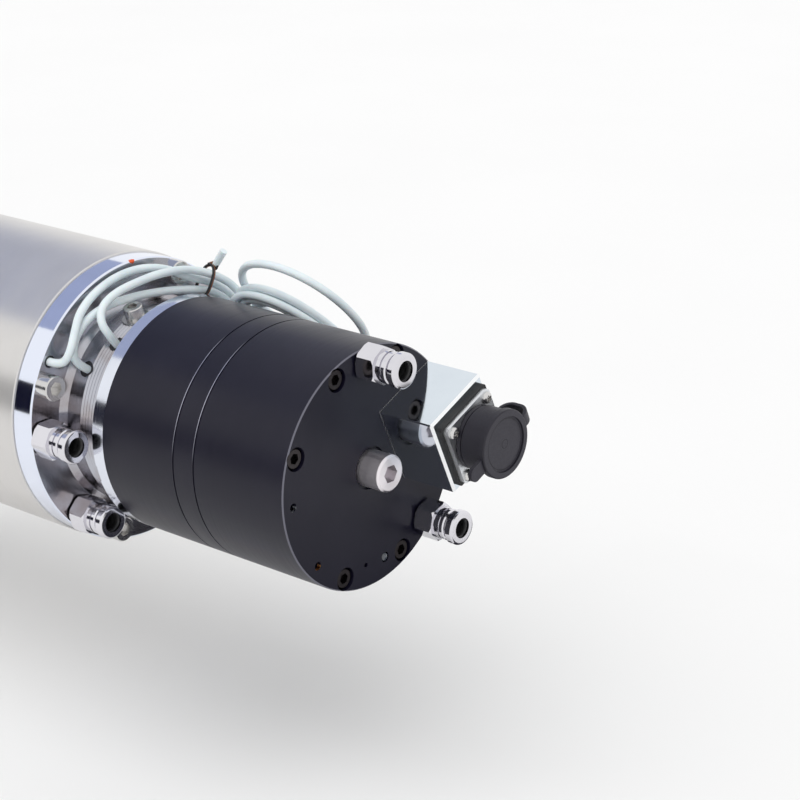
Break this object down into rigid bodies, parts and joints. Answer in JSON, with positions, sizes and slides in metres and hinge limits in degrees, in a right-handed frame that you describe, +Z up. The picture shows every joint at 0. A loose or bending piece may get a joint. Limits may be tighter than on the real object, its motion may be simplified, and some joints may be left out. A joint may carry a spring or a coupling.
{
  "type": "motor spindle",
  "caption": "Clamp-mounted motor spindle with a hollow tool-gripping shaft, pneumatic release cylinder, push-in fittings and a capped power connector on its rear end.",
  "frame": {"origin": "on the spindle axis, in the middle of the clamped round body", "axes": "+X along the spindle axis from the tool nose to the release cylinder, +Z up"},
  "size_m": [0.5271, 0.1807, 0.1566],
  "materials": {
    "brushed_stainless": "circumferentially brushed stainless",
    "polished_steel": "fine turned, polished flange rim",
    "jacket_aluminium": "machined",
    "lamination_steel": "stacked laminations",
    "copper": "enamelled copper wire",
    "screw_steel": "bright",
    "black_screw": "black oxide",
    "bearing_steel": "ground",
    "turned_steel": "ground and turned",
    "spring_steel": "phosphated spring steel",
    "machined_aluminium": "fine turned",
    "black_anodised": "black anodised, satin",
    "polished_box": "mirror polished, bare bevels",
    "nickel": "bright nickel plated",
    "seal_rubber": "matt",
    "cap_rubber": "dark grey, matt",
    "black_plastic": "matt",
    "gold": "gold plated",
    "sensor_body": "moulded sensor heads",
    "lead_jacket": "pale blue-white cable jacket",
    "tie_wire": "brown insulated wire"
  },
  "bodies": {
    "housing": {"body_jacket": "brushed_stainless", "cooling_jacket": "jacket_aluminium", "stator_core": "lamination_steel", "stator_windings": "copper", "front_housing": "brushed_stainless", "front_cover": "brushed_stainless", "front_screws": "screw_steel", "front_bearing_outer_rings": "bearing_steel", "rear_bearing_outer_rings": "bearing_steel", "outer_spacers": "bearing_steel", "rear_housing": "polished_steel", "rear_flange_bolts": "screw_steel", "rear_bearing_cap": "turned_steel", "adapter_ring": "machined_aluminium", "cylinder_front": "black_anodised", "cylinder_divider": "black_anodised", "cylinder_rear": "black_anodised", "cylinder_screws": "black_screw", "housing_seals": "seal_rubber", "vent_plug": "black_plastic", "push_fittings": "nickel", "connector_box": "polished_box", "box_screws": "screw_steel", "box_gasket": "seal_rubber", "connector_shell": "nickel", "connector_insert": "black_plastic", "connector_pins": "gold", "plate_screws": "screw_steel", "sensors": "sensor_body", "lead_speed": "lead_jacket", "lead_clamp": "lead_jacket", "lead_thermal": "lead_jacket", "lead_hank": "lead_jacket", "lead_tie": "tie_wire"},
    "spindle": {"spindle_shaft": "turned_steel", "drive_keys": "turned_steel", "rotor_core": "lamination_steel", "sensor_target": "turned_steel", "front_bearing_inner_rings": "bearing_steel", "rear_bearing_inner_rings": "bearing_steel", "inner_spacers": "bearing_steel", "lock_nuts": "turned_steel", "disc_springs": "spring_steel"},
    "front_rolling_set": {"front_bearing_balls": "bearing_steel"},
    "rear_rolling_set": {"rear_bearing_balls": "bearing_steel"},
    "drawbar_unit": {"drawbar": "turned_steel", "drawbar_nut": "turned_steel"},
    "piston_unit": {"piston_front": "turned_steel", "piston_rear": "turned_steel", "piston_seals": "seal_rubber"},
    "cap_ring": {"cap_strap": "cap_rubber"},
    "cap": {"connector_cap": "cap_rubber"},
    "grip_ball_1": {"gripper_ball_1": "bearing_steel"},
    "release_1": {"release_ring_1": "nickel"},
    "grip_ball_2": {"gripper_ball_2": "bearing_steel"},
    "release_2": {"release_ring_2": "nickel"},
    "grip_ball_3": {"gripper_ball_3": "bearing_steel"},
    "release_3": {"release_ring_3": "nickel"},
    "grip_ball_4": {"gripper_ball_4": "bearing_steel"},
    "release_4": {"release_ring_4": "nickel"}
  },
  "joints": [
    {"name": "shaft_spin", "type": "hinge", "parent": "housing", "child": "spindle", "pos_m": [0, 0, 0], "axis": [1, 0, 0], "continuous": true},
    {"name": "front_balls_spin", "type": "hinge", "parent": "housing", "child": "front_rolling_set", "pos_m": [-0.12, 0, 0], "axis": [1, 0, 0], "continuous": true},
    {"name": "rear_balls_spin", "type": "hinge", "parent": "housing", "child": "rear_rolling_set", "pos_m": [0.11, 0, 0], "axis": [1, 0, 0], "continuous": true},
    {"name": "piston_slide", "type": "slide", "parent": "housing", "child": "piston_unit", "axis": [-1, 0, 0], "range_m": [0, 0.009], "stiffness_N_per_m": 2000},
    {"name": "drawbar_slide", "type": "slide", "parent": "spindle", "child": "drawbar_unit", "axis": [-1, 0, 0], "range_m": [0, 0.008], "deforming": ["disc_springs"]},
    {"name": "ball_1_slide", "type": "slide", "parent": "drawbar_unit", "child": "grip_ball_1", "axis": [0, 1, 0], "range_m": [0, 0.0026]},
    {"name": "ball_2_slide", "type": "slide", "parent": "drawbar_unit", "child": "grip_ball_2", "axis": [0, 0, 1], "range_m": [0, 0.0026]},
    {"name": "ball_3_slide", "type": "slide", "parent": "drawbar_unit", "child": "grip_ball_3", "axis": [0, -1, 0], "range_m": [0, 0.0026]},
    {"name": "ball_4_slide", "type": "slide", "parent": "drawbar_unit", "child": "grip_ball_4", "axis": [0, 0, -1], "range_m": [0, 0.0026]},
    {"name": "release_1_press", "type": "slide", "parent": "housing", "child": "release_1", "axis": [-1, 0, 0], "range_m": [0, 0.0012], "stiffness_N_per_m": 500},
    {"name": "release_2_press", "type": "slide", "parent": "housing", "child": "release_2", "axis": [-1, 0, 0], "range_m": [0, 0.0012], "stiffness_N_per_m": 500},
    {"name": "release_3_press", "type": "slide", "parent": "housing", "child": "release_3", "axis": [-1, 0, 0], "range_m": [0, 0.0012], "stiffness_N_per_m": 500},
    {"name": "release_4_press", "type": "slide", "parent": "housing", "child": "release_4", "axis": [-1, 0, 0], "range_m": [0, 0.0012], "stiffness_N_per_m": 500},
    {"name": "cap_swivel", "type": "hinge", "parent": "housing", "child": "cap_ring", "pos_m": [0.3329, 0.03294, 0.0155], "axis": [1, 0, 0], "continuous": true},
    {"name": "cap_pull", "type": "slide", "parent": "cap_ring", "child": "cap", "axis": [1, 0, 0], "range_m": [0, 0.026], "deforming": ["cap_strap"]}
  ],
  "couplings": [
    {"joint": "front_balls_spin", "follows": "shaft_spin", "ratio": 0.435},
    {"joint": "rear_balls_spin", "follows": "shaft_spin", "ratio": 0.427},
    {"joint": "drawbar_slide", "follows": "piston_slide", "ratio": 0.8888},
    {"joint": "ball_1_slide", "follows": "piston_slide", "ratio": 0.2888},
    {"joint": "ball_2_slide", "follows": "piston_slide", "ratio": 0.2888},
    {"joint": "ball_3_slide", "follows": "piston_slide", "ratio": 0.2888},
    {"joint": "ball_4_slide", "follows": "piston_slide", "ratio": 0.2888}
  ]
}
